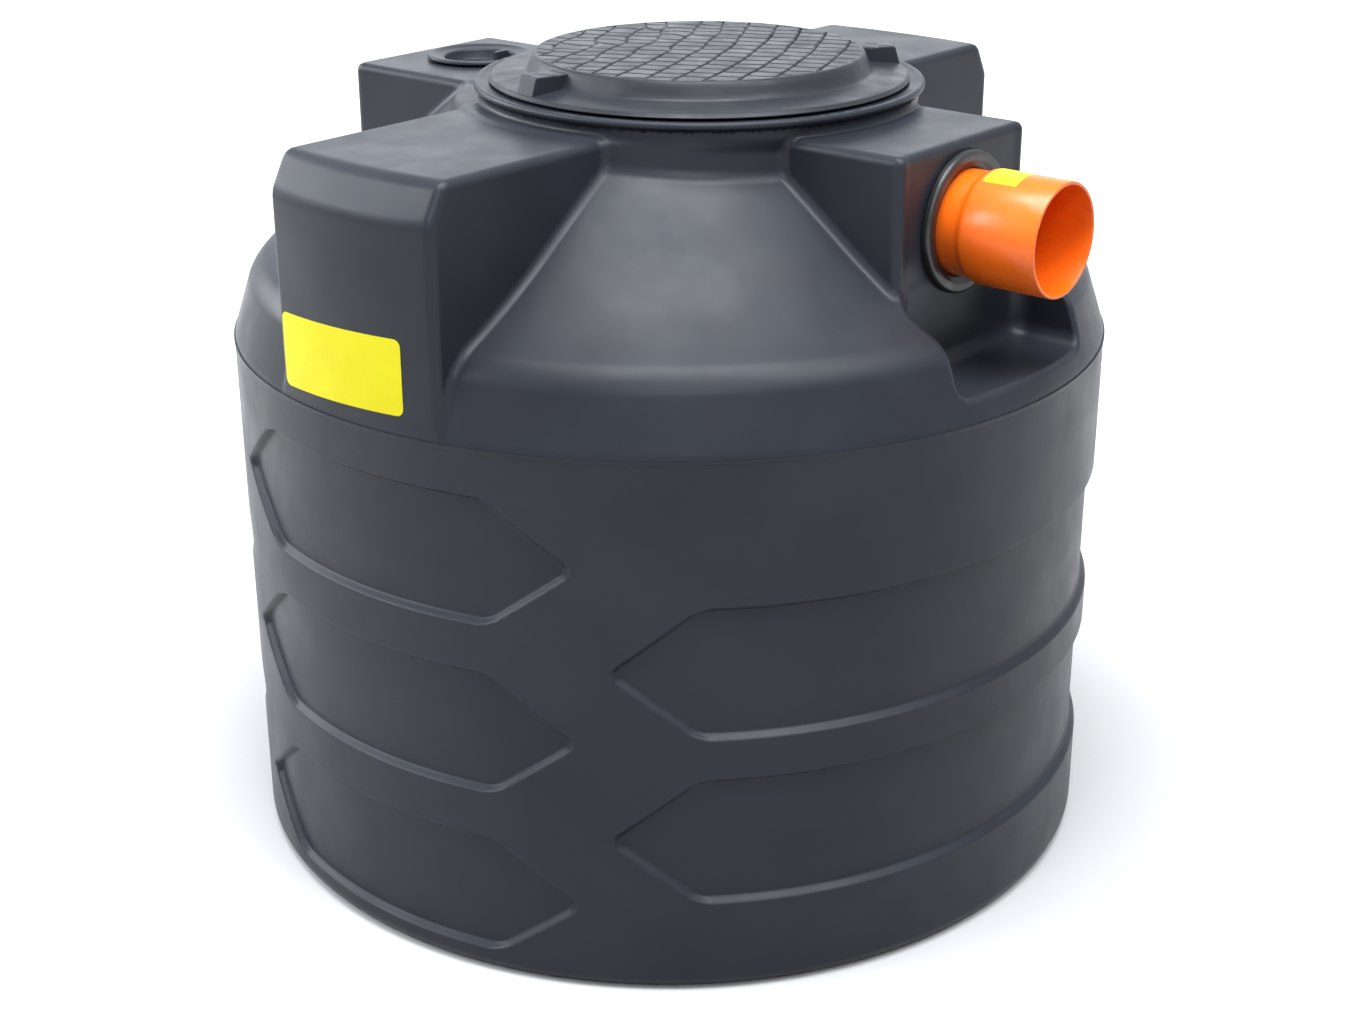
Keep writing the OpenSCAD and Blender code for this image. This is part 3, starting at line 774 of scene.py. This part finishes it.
def rubber_material():
    """Black rubber, smooth and slightly shiny."""
    material, tree, shader = node_material("black_rubber", (0.012, 0.012, 0.013), 0.34)
    tree.links.new(span(tree, noise(tree, 40.0, 4), 0.3, 0.7, 0.28, 0.42), shader.inputs["Roughness"])
    relief(tree, shader, noise(tree, 120.0, 2), 0.0002, 0.25)
    return material


def pipe_material():
    """Orange drain pipe plastic with a light gloss and faint scuffs along it."""
    material, tree, shader = node_material("orange_plastic", (0.95, 0.15, 0.006), 0.28)
    tone = ramp(tree, noise(tree, 11.0, 5),
                [(0.32, (0.93, 0.140, 0.005)), (0.70, (0.98, 0.165, 0.008))])
    tree.links.new(tone, shader.inputs["Base Color"])
    tree.links.new(span(tree, noise(tree, 60.0, 6), 0.3, 0.7, 0.22, 0.36), shader.inputs["Roughness"])
    relief(tree, shader, noise(tree, 90.0, 2), 0.0002, 0.15)
    return material


def label_material():
    """Plain yellow film, blank, with a slightly uneven print."""
    material, tree, shader = node_material("yellow_film", (0.92, 0.82, 0.01), 0.45, 0.3)
    tone = ramp(tree, noise(tree, 25.0, 4), [(0.35, (0.90, 0.79, 0.008)), (0.68, (0.95, 0.86, 0.015))])
    tree.links.new(tone, shader.inputs["Base Color"])
    relief(tree, shader, noise(tree, 30.0, 2), 0.0003, 0.3)
    return material


# ---- floor, light and camera ------------------------------------------------------------

def is_seen(tree):
    """1 for rays from the camera, from glossy faces and through glass, else 0."""
    path = tree.nodes.new("ShaderNodeLightPath")
    total = path.outputs["Is Camera Ray"]
    for key in ("Is Glossy Ray", "Is Transmission Ray"):
        add = tree.nodes.new("ShaderNodeMath")
        add.operation = "MAXIMUM"
        tree.links.new(total, add.inputs[0])
        tree.links.new(path.outputs[key], add.inputs[1])
        total = add.outputs[0]
    return total


def floor():
    """A plain white floor that keeps the tank's shadow and throws only a little light back."""
    turn = np.linspace(0, 2 * math.pi, 96, endpoint=False)
    rings = [0.35, 0.8, 1.6, 3.2, 6.4, 14.0, 40.0]
    points = [(r * math.cos(t), r * math.sin(t), 0) for r in rings for t in turn] + [(0, 0, 0)]
    faces = list(ring_faces(len(rings), 96)) + [(len(points) - 1, j, (j + 1) % 96) for j in range(96)]
    obj = add_mesh("floor", points, faces)
    material, tree, shader = node_material("floor_paint", (0.62, 0.62, 0.62), 0.9, 0.0)
    seen = is_seen(tree)
    tone = ramp(tree, noise(tree, 1.2, 3), [(0.3, (0.60, 0.60, 0.60)), (0.7, (0.63, 0.63, 0.63))])
    mix = tree.nodes.new("ShaderNodeMix")
    mix.data_type = "RGBA"
    mix.inputs["A"].default_value = (0.18, 0.18, 0.18, 1)
    tree.links.new(seen, mix.inputs["Factor"])
    tree.links.new(tone, mix.inputs["B"])
    tree.links.new(mix.outputs["Result"], shader.inputs["Base Color"])
    shader.inputs["Emission Color"].default_value = (1, 1, 1, 1)
    away = tree.nodes.new("ShaderNodeVectorMath")
    away.operation = "LENGTH"
    tree.links.new(tree.nodes["place"].outputs["Object"], away.inputs[0])
    lift = tree.nodes.new("ShaderNodeMath")
    lift.operation = "MULTIPLY"
    tree.links.new(seen, lift.inputs[0])
    tree.links.new(span(tree, away.outputs["Value"], 0.50, 2.40, 0.0, 0.85), lift.inputs[1])
    tree.links.new(lift.outputs[0], shader.inputs["Emission Strength"])
    obj.data.materials.append(material)


def area_lamp(name, place, target, size, power):
    """A rectangular soft lamp, slightly cool, aimed at a point."""
    lamp = bpy.data.lights.new(name, "AREA")
    lamp.shape = "RECTANGLE"
    lamp.size, lamp.size_y = size
    lamp.energy = power
    lamp.color = (0.94, 0.97, 1.0)
    obj = bpy.data.objects.new(name, lamp)
    obj.location = place
    obj.rotation_euler = (Vector(target) - Vector(place)).to_track_quat("-Z", "Y").to_euler()
    bpy.context.scene.collection.objects.link(obj)


def spot_lamp(name, place, target, degrees, power):
    """A narrow soft-edged lamp aimed at a point."""
    lamp = bpy.data.lights.new(name, "SPOT")
    lamp.spot_size = math.radians(degrees)
    lamp.spot_blend = 1.0
    lamp.shadow_soft_size = 0.25
    lamp.energy = power
    obj = bpy.data.objects.new(name, lamp)
    obj.location = place
    obj.rotation_euler = (Vector(target) - Vector(place)).to_track_quat("-Z", "Y").to_euler()
    bpy.context.scene.collection.objects.link(obj)


def lights():
    """A dim sky, six soft lamps for the broad highlights and a narrow one on the outlet."""
    world = bpy.data.worlds.new("studio")
    world.use_nodes = True
    tree = world.node_tree
    back = tree.nodes["Background"]
    back.inputs["Color"].default_value = (0.90, 0.94, 1.0, 1)
    mix = tree.nodes.new("ShaderNodeMapRange")
    mix.inputs["To Min"].default_value = 0.24
    mix.inputs["To Max"].default_value = 1.0
    tree.links.new(is_seen(tree), mix.inputs["Value"])
    tree.links.new(mix.outputs["Result"], back.inputs["Strength"])
    bpy.context.scene.world = world
    area_lamp("overhead", (0.6, -0.7, 5.0), (0, 0, 0), (2.8, 2.8), 330)
    area_lamp("behind", (-3.0, 3.4, 2.4), (0, 0, 0.8), (4.4, 2.2), 34)
    area_lamp("front", (-2.5, -3.2, 2.8), (0, -0.3, 0.8), (2.4, 1.8), 115)
    area_lamp("key", (2.6, -2.6, 3.0), (0, 0, 0.8), (1.6, 1.0), 42)
    area_lamp("left", (-4.2, -1.0, 2.1), (0, 0, 0.5), (2.6, 1.8), 110)
    area_lamp("right", (2.9, 0.1, 4.4), (0.2, 0, 0.4), (2.2, 2.2), 120)
    spot_lamp("outlet", (2.1, -1.9, 1.5), (0.47, 0, 0.77), 7.5, 26)


def camera():
    """The camera, at the angle and height the tank is seen from."""
    data = bpy.data.cameras.new("camera")
    data.sensor_width = 36.0
    data.lens = 57.0
    obj = bpy.data.objects.new("camera", data)
    turn, pitch, yaw, roll = map(math.radians, (40.18, 22.44, 0.197, -0.125))
    level = math.cos(pitch)
    forward = Vector((math.sin(yaw) * level, math.cos(yaw) * level, -math.sin(pitch)))
    right = Vector((math.cos(yaw), -math.sin(yaw), 0))
    up = right.cross(forward)
    right, up = (right * math.cos(roll) + up * math.sin(roll),
                 up * math.cos(roll) - right * math.sin(roll))
    base = Matrix((right, up, -forward)).transposed().to_4x4()
    place = Matrix.Translation((1.552, -1.837, 1.341))
    obj.matrix_world = place @ Matrix.Rotation(turn, 4, "Z") @ base
    bpy.context.scene.collection.objects.link(obj)
    bpy.context.scene.camera = obj


def main():
    """Dresses the tank and sets the floor, light and camera."""
    shell, cover, rubber = shell_material(), cover_material(), rubber_material()
    moulded_wall(shell)
    moulded_top(shell)
    manhole_cover(cover)
    cover_seal(rubber)
    outlet_pipe(pipe_material())
    grommet("outlet_seal", "outlet_grommet", "x", SOCKET_R - 0.0043, rubber)
    grommet("inlet_seal_ring", "inlet_grommet", "-x", SOCKET_R - 0.0043, rubber)
    vent(shell)
    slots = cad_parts["vent_socket"].data.materials
    slots.clear()
    slots.append(shell)
    labels(label_material())
    floor()
    lights()
    camera()
    bpy.context.scene.view_settings.view_transform = "Standard"


main()
